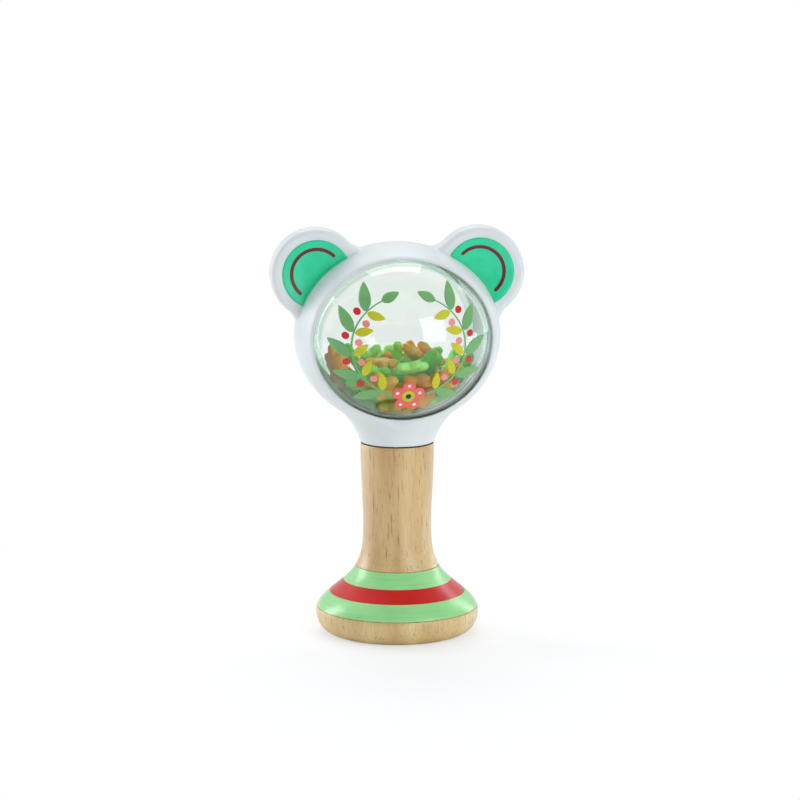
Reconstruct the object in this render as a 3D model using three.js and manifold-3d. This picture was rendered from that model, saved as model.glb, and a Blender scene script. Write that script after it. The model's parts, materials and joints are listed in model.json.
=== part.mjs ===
// Baby maraca: a clear ball of loose star beads in a white two-part casing with round ears,
// on a turned wooden handle whose flared foot it stands on.
// Millimetres, +Z up, the face looks along -Y, the origin is the centre of the foot.
import * as THREE from "three";
import { mergeVertices } from "three/addons/utils/BufferGeometryUtils.js";
import Module from "manifold-3d";

const wasm = await Module();
wasm.setup();

// Head: an oval ball, measured over the casing
const HEAD_HALF_WIDTH = 35;
const HEAD_HALF_DEPTH = 35;
const HEAD_HALF_HEIGHT = 31.3;
const CASING_HALF_DEPTH = 16.2;
const CASING_WALL = 1;
const LIP_ROUND = 0.6;
const SEAM_GAP = 0.3;
const FIT_GAP = 0.3;
const DOME_WALL = 1.8;
const LAP_LENGTH = 1.6;

// Ears: round, with a dished front
const EAR_OUT = 27.7;
const EAR_UP = 21.1;
const EAR_RADIUS = 15.5;
const EAR_THICKNESS = 9.6;
const EAR_EDGE_ROUND = 2.3;
const EAR_FILLET = 4.5;
const DISH_DEPTH = 2.8;

// Neck and the split spigot below it
const HEAD_RISE = 37;
const NECK_BLEND_ANGLE = THREE.MathUtils.degToRad(54);
const NECK_END_ANGLE = THREE.MathUtils.degToRad(19);
const SPIGOT_RADIUS = 7;
const SPIGOT_BORE_RADIUS = 4.4;
const SPIGOT_BORE_RISE = 4.2;
const SPIGOT_LENGTH = 18;
const PEG_RADIUS = 1.5;
const PEG_LENGTH = 4;
const PEG_RISE = 4.2;

// Handle
const GRIP_TOP = 65.7;
const GRIP_RADIUS = 12.55;
const WAIST_RADIUS = 11.65;
const WAIST_HEIGHT = 37.5;
const FLARE_RADIUS = 14.2;
const FLARE_HEIGHT = 23.1;
const FOOT_RADIUS = 27.9;
const FOOT_WIDEST_HEIGHT = 7.4;
const FOOT_FLAT_RADIUS = 22;
const FOOT_EASE = 5.1;
const FLARE_EASE = 7.5;
const FLARE_ANGLE = THREE.MathUtils.degToRad(28);
const WAIST_EASE = 8.5;
const GRIP_EASE = 12;
const EDGE_BREAK = 0.4;
const BORE_END_GAP = 1;

// Star beads
const OUTER_BEADS = 32;
const INNER_BEADS = 14;
const BEAD_RADIUS = 6;
const BEAD_VALLEY_RADIUS = 3.6;
const BEAD_TIP_HALF_WIDTH = 1.1;
const BEAD_THICKNESS = 3.4;
const BEAD_BEVEL = 0.75;
const BEAD_GAP = 0.25;

// Sizes that follow from those above
const headCentre = GRIP_TOP + FIT_GAP + HEAD_RISE;
const heightRatio = HEAD_HALF_HEIGHT / HEAD_HALF_WIDTH;
const domeInset = CASING_WALL + FIT_GAP;
const chamberInset = domeInset + DOME_WALL;
const chamberRadius = (HEAD_HALF_WIDTH - chamberInset) * heightRatio;
const chamberHalfDepth = HEAD_HALF_DEPTH - chamberInset;
const innerBeadSpace = 0.7 * chamberRadius;
const pegOut = (SPIGOT_BORE_RADIUS + GRIP_RADIUS) / 2;

// Solids and booleans

function solid(geometry) {
  const bare = geometry.clone();
  bare.deleteAttribute("normal");
  bare.deleteAttribute("uv");
  const welded = mergeVertices(bare, 1e-4);
  const corners = welded.index.array;
  const triangles = [];
  for (let i = 0; i < corners.length; i += 3) {
    const [a, b, c] = corners.slice(i, i + 3);
    if (a !== b && b !== c && c !== a) {
      triangles.push(a, b, c);
    }
  }
  const mesh = new wasm.Mesh({
    numProp: 3,
    vertProperties: new Float32Array(welded.attributes.position.array),
    triVerts: new Uint32Array(triangles),
  });
  return new wasm.Manifold(mesh);
}

function geometryOf(manifold) {
  const mesh = manifold.getMesh();
  const geometry = new THREE.BufferGeometry();
  geometry.setAttribute("position", new THREE.BufferAttribute(mesh.vertProperties, 3));
  geometry.setIndex(new THREE.BufferAttribute(mesh.triVerts, 1));
  geometry.computeVertexNormals();
  return geometry;
}

// Points of an ellipse arc in the plane of radius and depth
function ellipseArc(halfWidth, halfDepth, startAngle, endAngle, steps) {
  const points = [];
  for (let i = 0; i <= steps; i += 1) {
    const angle = startAngle + ((endAngle - startAngle) * i) / steps;
    points.push(new THREE.Vector2(halfWidth * Math.cos(angle), halfDepth * Math.sin(angle)));
  }
  return points;
}

// Casing: a belt around the ball with ears, neck and spigot, all about the head's centre

// The belt as a solid barrel, revolved about the depth axis and squeezed to the head's height
function barrelGeometry() {
  const roundAngle = Math.asin((CASING_HALF_DEPTH - LIP_ROUND) / HEAD_HALF_DEPTH);
  const lipAngle = Math.asin(CASING_HALF_DEPTH / HEAD_HALF_DEPTH);
  const faceRadius = HEAD_HALF_WIDTH * Math.cos(lipAngle) - LIP_ROUND;
  const profile = [
    new THREE.Vector2(0, -CASING_HALF_DEPTH),
    new THREE.Vector2(faceRadius, -CASING_HALF_DEPTH),
    new THREE.Vector2(faceRadius + 0.8 * LIP_ROUND, -CASING_HALF_DEPTH + 0.3 * LIP_ROUND),
    ...ellipseArc(HEAD_HALF_WIDTH, HEAD_HALF_DEPTH, -roundAngle, roundAngle, 8),
    new THREE.Vector2(faceRadius + 0.8 * LIP_ROUND, CASING_HALF_DEPTH - 0.3 * LIP_ROUND),
    new THREE.Vector2(faceRadius, CASING_HALF_DEPTH),
    new THREE.Vector2(0, CASING_HALF_DEPTH),
  ];
  return new THREE.LatheGeometry(profile, 40).scale(1, 1, heightRatio);
}

function cavityGeometry() {
  const halfWidth = HEAD_HALF_WIDTH - CASING_WALL;
  const halfDepth = HEAD_HALF_DEPTH - CASING_WALL;
  const profile = ellipseArc(halfWidth, halfDepth, -Math.PI / 2, Math.PI / 2, 18);
  return new THREE.LatheGeometry(profile, 40).scale(1, 1, heightRatio);
}

// Centre of the round between an ear and the head, searched along the ear's edge
function filletCentre(insideAngle, outsideAngle) {
  const reach = EAR_RADIUS + EAR_FILLET;
  const centre = new THREE.Vector2();
  let inside = insideAngle;
  let outside = outsideAngle;
  for (let i = 0; i < 40; i += 1) {
    const angle = (inside + outside) / 2;
    centre.set(EAR_OUT + reach * Math.cos(angle), EAR_UP + reach * Math.sin(angle));
    const across = centre.x / (HEAD_HALF_WIDTH + EAR_FILLET);
    const up = centre.y / (HEAD_HALF_HEIGHT + EAR_FILLET);
    if (Math.hypot(across, up) < 1) {
      inside = angle;
    } else {
      outside = angle;
    }
  }
  return centre;
}

// The right ear's outline in width and height
function earShape() {
  const inward = Math.atan2(-EAR_UP, -EAR_OUT);
  const ear = new THREE.Vector2(EAR_OUT, EAR_UP);
  const lower = filletCentre(inward, inward + Math.PI / 2);
  const upper = filletCentre(inward, inward - Math.PI / 2);
  const lowerAngle = lower.clone().sub(ear).angle();
  const upperAngle = upper.clone().sub(ear).angle();
  const arc = (centre, radius, start, end, steps) => {
    const points = ellipseArc(radius, radius, start, end, steps);
    return points.map((point) => point.add(centre));
  };
  const lowerRound = arc(lower, EAR_FILLET, lower.angle() + Math.PI, lowerAngle - Math.PI, 3);
  const edge = arc(ear, EAR_RADIUS, lowerAngle - 2 * Math.PI, upperAngle, 24);
  const upperRound = arc(upper, EAR_FILLET, upperAngle + Math.PI, upper.angle() + Math.PI, 3);
  const root = [upperRound.at(-1), lowerRound[0]].map((point) => point.clone().multiplyScalar(0.8));
  return new THREE.Shape([...lowerRound, ...edge.slice(1, -1), ...upperRound, ...root]);
}

function earSolid() {
  const plate = new THREE.ExtrudeGeometry(earShape(), {
    depth: EAR_THICKNESS - 2 * EAR_EDGE_ROUND,
    bevelThickness: EAR_EDGE_ROUND,
    bevelSize: EAR_EDGE_ROUND,
    bevelOffset: -EAR_EDGE_ROUND,
    bevelSegments: 3,
  });
  plate.translate(0, 0, EAR_EDGE_ROUND - EAR_THICKNESS / 2);
  plate.rotateX(Math.PI / 2);
  const rim = EAR_RADIUS - EAR_EDGE_ROUND;
  const sweep = 2 * Math.atan(DISH_DEPTH / rim);
  const bowlRadius = rim / Math.sin(sweep);
  const floor = DISH_DEPTH - EAR_THICKNESS / 2;
  const profile = [new THREE.Vector2(0, -EAR_THICKNESS), new THREE.Vector2(rim, -EAR_THICKNESS)];
  for (let i = 4; i >= 0; i -= 1) {
    const angle = (sweep * i) / 4;
    const rise = bowlRadius * (1 - Math.cos(angle));
    profile.push(new THREE.Vector2(bowlRadius * Math.sin(angle), floor - rise));
  }
  const dish = new THREE.LatheGeometry(profile, 30).translate(EAR_OUT, 0, EAR_UP);
  return solid(plate).subtract(solid(dish));
}

// The neck is turned: from the grip it widens in a hollow curve that runs into the head
function neckGeometry() {
  const start = new THREE.Vector2(GRIP_RADIUS, -HEAD_RISE);
  const startRun = new THREE.Vector2(Math.sin(NECK_END_ANGLE), Math.cos(NECK_END_ANGLE));
  const end = new THREE.Vector2(
    HEAD_HALF_WIDTH * Math.cos(NECK_BLEND_ANGLE),
    -HEAD_HALF_HEIGHT * Math.sin(NECK_BLEND_ANGLE),
  );
  const endRun = new THREE.Vector2(end.y / heightRatio, -end.x * heightRatio);
  const gap = end.clone().sub(start);
  const along = gap.cross(endRun) / startRun.cross(endRun);
  const corner = start.clone().addScaledVector(startRun, along);
  const flank = new THREE.QuadraticBezierCurve(start, corner, end).getPoints(7);
  const profile = [new THREE.Vector2(0, start.y), ...flank, new THREE.Vector2(0, end.y)];
  return new THREE.LatheGeometry(profile, 40).rotateX(Math.PI / 2);
}

// All that lies between two depths
function slab(front, rear) {
  const reach = 4 * (HEAD_HALF_WIDTH + HEAD_RISE);
  const block = new THREE.BoxGeometry(reach, rear - front, reach);
  return solid(block.translate(0, (front + rear) / 2, 0));
}

function uprightCylinder(radius, bottom, top) {
  const cylinder = new THREE.CylinderGeometry(radius, radius, top - bottom, 24);
  return solid(cylinder.rotateX(Math.PI / 2).translate(0, 0, (top + bottom) / 2));
}

// A pin along the depth axis, one on each side of the neck
function pinPair(radius, front, rear) {
  const pin = new THREE.CylinderGeometry(radius, radius, rear - front, 16);
  pin.translate(pegOut, (front + rear) / 2, PEG_RISE - HEAD_RISE);
  const right = solid(pin);
  return right.add(right.mirror([1, 0, 0]));
}

function casingSolid() {
  const ear = earSolid();
  const spigotEnd = -HEAD_RISE - SPIGOT_LENGTH;
  const ears = ear.add(ear.mirror([1, 0, 0]));
  const neck = solid(neckGeometry()).intersect(slab(-CASING_HALF_DEPTH, CASING_HALF_DEPTH));
  const outside = solid(barrelGeometry()).add(ears).add(neck);
  const shell = outside.subtract(solid(cavityGeometry()));
  const boreEnd = SPIGOT_BORE_RISE - HEAD_RISE;
  const spigot = uprightCylinder(SPIGOT_RADIUS, spigotEnd, boreEnd);
  const bore = uprightCylinder(SPIGOT_BORE_RADIUS, spigotEnd - FIT_GAP, boreEnd);
  return shell.add(spigot).subtract(bore);
}

// Ball: two clear halves with a lapped edge

// The front half has the outer lip of the lap, the rear half the tongue inside it
function domeGeometry(side) {
  const outerWidth = HEAD_HALF_WIDTH - domeInset;
  const outerDepth = HEAD_HALF_DEPTH - domeInset;
  const innerWidth = outerWidth - DOME_WALL;
  const innerDepth = outerDepth - DOME_WALL;
  const tongueWidth = (outerWidth + innerWidth - FIT_GAP) / 2;
  const edge = SEAM_GAP / 2;
  const profile = ellipseArc(outerWidth, outerDepth, Math.PI / 2, Math.asin(edge / outerDepth), 7);
  if (side < 0) {
    const lapEnd = edge + LAP_LENGTH;
    profile.push(new THREE.Vector2(tongueWidth + FIT_GAP, edge));
    profile.push(new THREE.Vector2(tongueWidth + FIT_GAP, lapEnd));
    profile.push(...ellipseArc(innerWidth, innerDepth, Math.asin(lapEnd / innerDepth), Math.PI / 2, 7));
  } else {
    profile.push(new THREE.Vector2(tongueWidth, edge));
    profile.push(new THREE.Vector2(tongueWidth, edge + SEAM_GAP - LAP_LENGTH));
    profile.push(new THREE.Vector2(innerWidth, edge + SEAM_GAP - LAP_LENGTH));
    profile.push(...ellipseArc(innerWidth, innerDepth, 0, Math.PI / 2, 7));
  }
  profile.forEach((point) => {
    point.y *= side;
  });
  if (side > 0) {
    profile.reverse();
  }
  return new THREE.LatheGeometry(profile, 32).scale(1, 1, heightRatio);
}

// Handle: turned wood, with a bore for the spigot

function handleGeometry() {
  const boreRadius = SPIGOT_RADIUS + FIT_GAP;
  const boreEnd = GRIP_TOP + FIT_GAP - SPIGOT_LENGTH - BORE_END_GAP;
  const flareOut = FLARE_EASE * Math.sin(FLARE_ANGLE);
  const flareDown = FLARE_EASE * Math.cos(FLARE_ANGLE);
  const outline = new THREE.Path();
  outline.moveTo(0, 0);
  outline.lineTo(FOOT_FLAT_RADIUS, 0);
  outline.bezierCurveTo(
    FOOT_FLAT_RADIUS + 0.55 * (FOOT_RADIUS - FOOT_FLAT_RADIUS), 0,
    FOOT_RADIUS, 0.4 * FOOT_WIDEST_HEIGHT,
    FOOT_RADIUS, FOOT_WIDEST_HEIGHT,
  );
  outline.bezierCurveTo(
    FOOT_RADIUS, FOOT_WIDEST_HEIGHT + FOOT_EASE,
    FLARE_RADIUS + flareOut, FLARE_HEIGHT - flareDown,
    FLARE_RADIUS, FLARE_HEIGHT,
  );
  outline.bezierCurveTo(
    FLARE_RADIUS - 0.45 * flareOut, FLARE_HEIGHT + 0.45 * flareDown,
    WAIST_RADIUS, WAIST_HEIGHT - WAIST_EASE,
    WAIST_RADIUS, WAIST_HEIGHT,
  );
  outline.bezierCurveTo(
    WAIST_RADIUS, WAIST_HEIGHT + WAIST_EASE,
    GRIP_RADIUS, GRIP_TOP - GRIP_EASE,
    GRIP_RADIUS, GRIP_TOP - EDGE_BREAK,
  );
  outline.lineTo(GRIP_RADIUS - EDGE_BREAK, GRIP_TOP);
  outline.lineTo(boreRadius + EDGE_BREAK, GRIP_TOP);
  outline.lineTo(boreRadius, GRIP_TOP - EDGE_BREAK);
  outline.lineTo(boreRadius, boreEnd);
  outline.lineTo(0, boreEnd - boreRadius / 3);
  return new THREE.LatheGeometry(outline.getPoints(5), 36).rotateX(Math.PI / 2);
}

// Star beads

function beadGeometry() {
  const outline = [];
  for (let i = 0; i < 5; i += 1) {
    const tip = (2 * Math.PI * i) / 5;
    const addPoint = (x, y) => {
      outline.push(new THREE.Vector2(x, y).rotateAround(new THREE.Vector2(), tip));
    };
    addPoint(BEAD_RADIUS, -BEAD_TIP_HALF_WIDTH);
    addPoint(BEAD_RADIUS, BEAD_TIP_HALF_WIDTH);
    addPoint(BEAD_VALLEY_RADIUS * Math.cos(Math.PI / 5), BEAD_VALLEY_RADIUS * Math.sin(Math.PI / 5));
  }
  const bead = new THREE.ExtrudeGeometry(new THREE.Shape(outline), {
    depth: BEAD_THICKNESS - 2 * BEAD_BEVEL,
    bevelThickness: BEAD_BEVEL,
    bevelSize: BEAD_BEVEL,
    bevelOffset: -BEAD_BEVEL,
    bevelSegments: 1,
  });
  return bead.translate(0, 0, BEAD_BEVEL - BEAD_THICKNESS / 2);
}

// Centres of equal balls that cover a bead: in the middle, by the valleys and along the points
function beadBallCentres() {
  const half = BEAD_THICKNESS / 2;
  const root = BEAD_VALLEY_RADIUS * Math.cos(Math.PI / 5);
  const tip = BEAD_RADIUS - 0.8 * half;
  const steps = Math.ceil((tip - root) / half);
  const centres = [new THREE.Vector3()];
  const addBall = (reach, angle) => {
    centres.push(new THREE.Vector3(reach * Math.cos(angle), reach * Math.sin(angle), 0));
  };
  for (let i = 0; i < 5; i += 1) {
    const angle = (2 * Math.PI * i) / 5;
    addBall(BEAD_VALLEY_RADIUS - half, angle + Math.PI / 5);
    for (let step = 0; step <= steps; step += 1) {
      addBall(root + ((tip - root) * step) / steps, angle);
    }
  }
  return centres;
}

const beadBalls = beadBallCentres();
const beadBallRadius = BEAD_THICKNESS / 2 + BEAD_GAP;

// The same chain of random shares every time
function randomShares(seed) {
  let state = seed;
  return () => {
    state = (state * 1664525 + 1013904223) % 4294967296;
    return state / 4294967296;
  };
}

function randomDirection(random) {
  const height = 2 * random() - 1;
  const angle = 2 * Math.PI * random();
  const reach = Math.sqrt(1 - height * height);
  return new THREE.Vector3(reach * Math.cos(angle), reach * Math.sin(angle), height);
}

function posed(centre, turn) {
  const balls = beadBalls.map((ball) => ball.clone().applyQuaternion(turn).add(centre));
  return { centre, turn, balls };
}

// A bead somewhere in a layer of the chamber, lying along the wall but for a random tilt
function randomPose(layer, random) {
  const outward = randomDirection(random);
  const centre = outward.clone().multiplyScalar(layer.inner + (layer.outer - layer.inner) * random());
  centre.y *= layer.stretch;
  const turn = new THREE.Quaternion().setFromUnitVectors(new THREE.Vector3(0, 0, 1), outward);
  turn.premultiply(new THREE.Quaternion().setFromAxisAngle(randomDirection(random), layer.tilt * random()));
  turn.multiply(new THREE.Quaternion().setFromAxisAngle(new THREE.Vector3(0, 0, 1), 2 * Math.PI * random()));
  return posed(centre, turn);
}

function nudgedPose(pose, random) {
  const step = 0.25 * BEAD_THICKNESS * random();
  const centre = pose.centre.clone().addScaledVector(randomDirection(random), step);
  const turn = new THREE.Quaternion().setFromAxisAngle(randomDirection(random), 0.15 * random());
  return posed(centre, turn.multiply(pose.turn));
}

function fits(pose, layer, others) {
  const wallRoom = layer.outer - beadBallRadius / Math.min(1, layer.stretch);
  const innerRoom = layer.inner + beadBallRadius;
  for (const ball of pose.balls) {
    const reach = Math.hypot(ball.x, ball.y / layer.stretch, ball.z);
    if (reach > wallRoom || (layer.inner && ball.length() < innerRoom)) {
      return false;
    }
  }
  const near = 2 * (BEAD_RADIUS + BEAD_GAP);
  const apart = 2 * beadBallRadius;
  for (const other of others) {
    if (pose.centre.distanceTo(other.centre) < near) {
      for (const ball of pose.balls) {
        if (other.balls.some((otherBall) => ball.distanceToSquared(otherBall) < apart * apart)) {
          return false;
        }
      }
    }
  }
  return true;
}

// Beads dropped one by one: each takes the lowest free place found and then sinks by small nudges
function settledBeads(count, layer, random) {
  const settled = [];
  for (let i = 0; i < count; i += 1) {
    let best = null;
    for (let attempt = 0; attempt < 3000; attempt += 1) {
      const pose = best && attempt > 1500 ? nudgedPose(best, random) : randomPose(layer, random);
      if ((!best || pose.centre.z < best.centre.z) && fits(pose, layer, settled)) {
        best = pose;
      }
    }
    if (best) {
      settled.push(best);
    }
  }
  return settled;
}

// Assembly

const wood = new THREE.MeshStandardMaterial({ color: 0xd8bd8d, roughness: 0.6, metalness: 0 });
const white = new THREE.MeshStandardMaterial({ color: 0xeff2f4, roughness: 0.3, metalness: 0 });
const clear = new THREE.MeshStandardMaterial({
  color: 0xeaf4f2, roughness: 0.05, metalness: 0, transparent: true, opacity: 0.25,
});
const green = new THREE.MeshStandardMaterial({ color: 0x6cbf5c, roughness: 0.35, metalness: 0 });
const orange = new THREE.MeshStandardMaterial({ color: 0xeda03a, roughness: 0.35, metalness: 0 });

const maraca = new THREE.Group();

function addPiece(name, geometry, material, height) {
  const mesh = new THREE.Mesh(geometry, material);
  mesh.name = name;
  mesh.position.z = height;
  maraca.add(mesh);
  return mesh;
}

const casing = casingSolid();
const frontHalf = casing.intersect(slab(-HEAD_HALF_DEPTH, -SEAM_GAP / 2));
const rearHalf = casing.intersect(slab(SEAM_GAP / 2, HEAD_HALF_DEPTH));
const pegs = pinPair(PEG_RADIUS, -PEG_LENGTH, PEG_LENGTH);
const sockets = pinPair(PEG_RADIUS + FIT_GAP, -PEG_LENGTH - FIT_GAP, PEG_LENGTH);
addPiece("handle", handleGeometry(), wood, 0);
addPiece("front_casing", geometryOf(frontHalf.subtract(sockets)), white, headCentre);
addPiece("rear_casing", geometryOf(rearHalf.add(pegs)), white, headCentre);
addPiece("front_dome", domeGeometry(-1), clear, headCentre);
addPiece("rear_dome", domeGeometry(1), clear, headCentre);

// The outer beads can roll about the depth axis around a round space that the inner beads keep to
const outerLayer = {
  inner: innerBeadSpace + FIT_GAP,
  outer: chamberRadius - FIT_GAP,
  stretch: chamberHalfDepth / chamberRadius,
  tilt: 0.7,
};
const innerLayer = { inner: 0, outer: innerBeadSpace, stretch: 1, tilt: 2 };
for (const [layer, beads] of [
  ["outer", settledBeads(OUTER_BEADS, outerLayer, randomShares(36))],
  ["inner", settledBeads(INNER_BEADS, innerLayer, randomShares(106))],
]) {
  beads.forEach((pose, i) => {
    const name = `${layer}_bead_${String(i + 1).padStart(2, "0")}`;
    const bead = addPiece(name, beadGeometry(), (i % 9) % 2 ? orange : green, 0);
    bead.quaternion.copy(pose.turn);
    bead.position.copy(pose.centre).setZ(pose.centre.z + headCentre);
  });
}

export default maraca;
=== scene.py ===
import json
import math

import bmesh
import bpy
import numpy as np
from mathutils import Matrix, Vector


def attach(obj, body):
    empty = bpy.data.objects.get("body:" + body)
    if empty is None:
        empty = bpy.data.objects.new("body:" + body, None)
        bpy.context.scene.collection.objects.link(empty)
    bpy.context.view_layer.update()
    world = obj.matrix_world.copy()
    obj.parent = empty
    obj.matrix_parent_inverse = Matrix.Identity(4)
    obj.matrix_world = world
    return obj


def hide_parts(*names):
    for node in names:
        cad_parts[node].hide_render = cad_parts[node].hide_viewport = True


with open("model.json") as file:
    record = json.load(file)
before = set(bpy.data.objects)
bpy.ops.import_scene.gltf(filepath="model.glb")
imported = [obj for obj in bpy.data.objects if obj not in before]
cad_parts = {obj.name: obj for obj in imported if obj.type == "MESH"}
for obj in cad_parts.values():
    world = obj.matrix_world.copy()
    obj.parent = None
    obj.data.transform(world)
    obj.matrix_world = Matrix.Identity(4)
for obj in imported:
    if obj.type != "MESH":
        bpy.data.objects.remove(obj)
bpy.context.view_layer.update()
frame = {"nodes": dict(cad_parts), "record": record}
scene = bpy.context.scene
scene.view_settings.view_transform = "Standard"

# Sizes of the head in millimetres, measured from its centre, and angles of its neck in radians
HEAD_Z = 103.0
HEAD_WIDE = 35.0
HEAD_HIGH = 31.3
CASING_WALL = 1.0
CASING_DEEP = 16.2
CASING_STEP = 0.45
LIP_ROUND = 0.75
EDGE_ROUND = 0.35
SEAM = 0.03
SEAM_ROUND = 0.3
DOME_WIDE = 33.7
DOME_WALL = 1.8
EAR_OUT = 27.7
EAR_UP = 21.1
EAR_RADIUS = 15.5
EAR_DEEP = 4.8
EAR_EDGE = 2.3
EAR_FILLET = 4.5
EAR_SINK = 0.6
EAR_JOIN = 0.2
DISH_DEPTH = 2.8
DISH_ROUND = 0.9
DISH_FLOOR = DISH_DEPTH - EAR_DEEP
DISH_RADIUS = ((EAR_RADIUS - EAR_EDGE) ** 2 + DISH_DEPTH ** 2) / (2 * DISH_DEPTH)
NECK_LOW = -37.0
NECK_RADIUS = 12.55
NECK_LEAN = math.radians(19)
NECK_BLEND = math.radians(54)
SPIGOT_LOW = -55
SPIGOT_TOP = -32.8
SPIGOT_RADIUS = 7
SPIGOT_BORE = 4.4
HIGH_SHARE = HEAD_HIGH / HEAD_WIDE


# Meshes

def make_object(name, points, faces, materials, face_slots=None):
    mesh = bpy.data.meshes.new(name)
    mesh.from_pydata((np.asarray(points) * 0.001).tolist(), [], faces)
    for material in materials:
        mesh.materials.append(material)
    if face_slots is not None:
        mesh.polygons.foreach_set("material_index", face_slots)
    mesh.polygons.foreach_set("use_smooth", [True] * len(mesh.polygons))
    mesh.update()
    obj = bpy.data.objects.new(name, mesh)
    scene.collection.objects.link(obj)
    return obj


def tidy_normals(obj):
    bm = bmesh.new()
    bm.from_mesh(obj.data)
    bmesh.ops.recalc_face_normals(bm, faces=bm.faces)
    bm.to_mesh(obj.data)
    bm.free()


def bezier(a, b, c, d, count):
    t = np.linspace(0, 1, count)[:, None]
    a, b, c, d = [np.array(p, float) for p in (a, b, c, d)]
    return (1 - t) ** 3 * a + 3 * t * (1 - t) ** 2 * b + 3 * t * t * (1 - t) * c + t ** 3 * d


def arc(half_wide, half_high, start, end, count):
    angle = np.linspace(start, end, count)
    return np.stack([half_wide * np.cos(angle), half_high * np.sin(angle)], 1)


# A profile of radius and height turned about its axis, with a single point where the radius is 0
def turned(profile, segments):
    points = []
    rings = []
    angle = np.arange(segments) * 2 * math.pi / segments
    for radius, height in profile:
        first = len(points)
        if radius < 1e-6:
            points.append((0, 0, height))
            rings.append([first] * segments)
        else:
            for a in angle:
                points.append((radius * math.cos(a), radius * math.sin(a), height))
            rings.append(list(range(first, first + segments)))
    faces = []
    bands = []
    for band, (low, high) in enumerate(zip(rings, rings[1:])):
        for i in range(segments):
            j = (i + 1) % segments
            corners = [low[i], low[j], high[j], high[i]]
            face = [c for n, c in enumerate(corners) if c not in corners[:n]]
            if len(face) > 2:
                faces.append(face)
                bands.append(band)
    return np.array(points), faces, bands


# Each point in the middle of its neighbours
def evened(points, quads):
    total = np.zeros_like(points)
    hits = np.zeros(len(points))
    for k in range(4):
        for a, b in ((quads[:, k], quads[:, k - 1]), (quads[:, k - 1], quads[:, k])):
            np.add.at(total, a, points[b])
            np.add.at(hits, a, 1)
    return total / hits[:, None]


# A mesh of the surface where a field of distances is 0: its points are moved onto the surface in a few
# rounds, and in the later ones they are spaced evenly first
def surface(field, low, high, step):
    counts = [int(math.ceil((b - a) / step)) + 1 for a, b in zip(low, high)]
    axes = [a + step * np.arange(n) for a, n in zip(low, counts)]
    value = field(np.stack(np.meshgrid(*axes, indexing="ij"), -1))
    cells = [n - 1 for n in counts]
    total = np.zeros(cells + [3])
    hits = np.zeros(cells)
    crossings = []
    for axis in range(3):
        v = np.moveaxis(value, axis, 0)
        crossed = (v[:-1] < 0) != (v[1:] < 0)
        place = np.argwhere(crossed)
        start = v[:-1][crossed]
        share = start / (start - v[1:][crossed])
        others = [a for a in range(3) if a != axis]
        node = np.zeros((len(place), 3), int)
        node[:, axis] = place[:, 0]
        node[:, others[0]] = place[:, 1]
        node[:, others[1]] = place[:, 2]
        point = np.array(low) + step * node
        point[:, axis] += step * share
        corner = []
        for back in ((1, 1), (0, 1), (0, 0), (1, 0)):
            cell = node.copy()
            cell[:, others[0]] -= back[0]
            cell[:, others[1]] -= back[1]
            flat = np.ravel_multi_index(cell.T, cells)
            np.add.at(total.reshape(-1, 3), flat, point)
            np.add.at(hits.reshape(-1), flat, 1)
            corner.append(flat)
        quad = np.stack(corner, 1)
        turn_round = (start < 0) == (axis == 1)
        quad[turn_round] = quad[turn_round][:, ::-1]
        crossings.append(quad)
    used = np.flatnonzero(hits.reshape(-1))
    number = np.zeros(hits.size, int)
    number[used] = np.arange(len(used))
    points = total.reshape(-1, 3)[used] / hits.reshape(-1)[used][:, None]
    quads = number[np.concatenate(crossings)]
    probe = 0.02
    for turn in range(7):
        if turn > 2:
            points = 0.5 * points + 0.5 * evened(points, quads)
        here = field(points)
        changes = [field(points + d) - field(points - d) for d in probe * np.eye(3)]
        slope = np.stack(changes, 1) / (2 * probe)
        move = (here / np.maximum(0.25, (slope ** 2).sum(1)))[:, None] * slope
        points = points - np.clip(move, -0.3 * step, 0.3 * step)
    return points, quads.tolist()


# Distances to the casing, about the head's centre

# Both solids, with a fillet between them
def joined(a, b, radius):
    corner = np.hypot(np.maximum(radius - a, 0), np.maximum(radius - b, 0))
    return np.maximum(radius, np.minimum(a, b)) - corner


# What two solids share, with a rounded edge
def shared(a, b, radius):
    corner = np.hypot(np.maximum(radius + a, 0), np.maximum(radius + b, 0))
    return np.minimum(-radius, np.maximum(a, b)) + corner


# Nearly the distance to an oval
def oval(across, up, half_wide, half_high):
    k = np.hypot(across / half_wide, up / half_high)
    slope = np.hypot(across / half_wide ** 2, up / half_high ** 2)
    return k * (k - 1) / np.maximum(slope, 1e-4)


# The turned outside of head and neck: an oval that a hollow curve leads into from below
def turned_head(radius, up):
    r0, u0 = NECK_RADIUS, NECK_LOW
    r2, u2 = HEAD_WIDE * math.cos(NECK_BLEND), -HEAD_HIGH * math.sin(NECK_BLEND)
    run0 = np.array([math.sin(NECK_LEAN), math.cos(NECK_LEAN)])
    run2 = np.array([HEAD_WIDE * math.sin(NECK_BLEND), HEAD_HIGH * math.cos(NECK_BLEND)])
    along = np.linalg.solve(np.stack([run0, run2], 1), np.array([r2 - r0, u2 - u0]))[0]
    r1, u1 = np.array([r0, u0]) + along * run0
    a, b = u0 - 2 * u1 + u2, 2 * (u1 - u0)
    t = (-b + np.sqrt(np.maximum(b * b - 4 * a * (u0 - np.clip(up, u0, u2)), 0))) / (2 * a)
    curve = r0 + 2 * t * (r1 - r0) + t * t * (r0 - 2 * r1 + r2)
    lean = ((r1 - r0) + t * (r0 - 2 * r1 + r2)) / ((u1 - u0) + t * a)
    neck = (radius - curve) / np.sqrt(1 + lean ** 2)
    return np.where(up < u2, neck, oval(radius, up, HEAD_WIDE, HEAD_HIGH))


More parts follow.
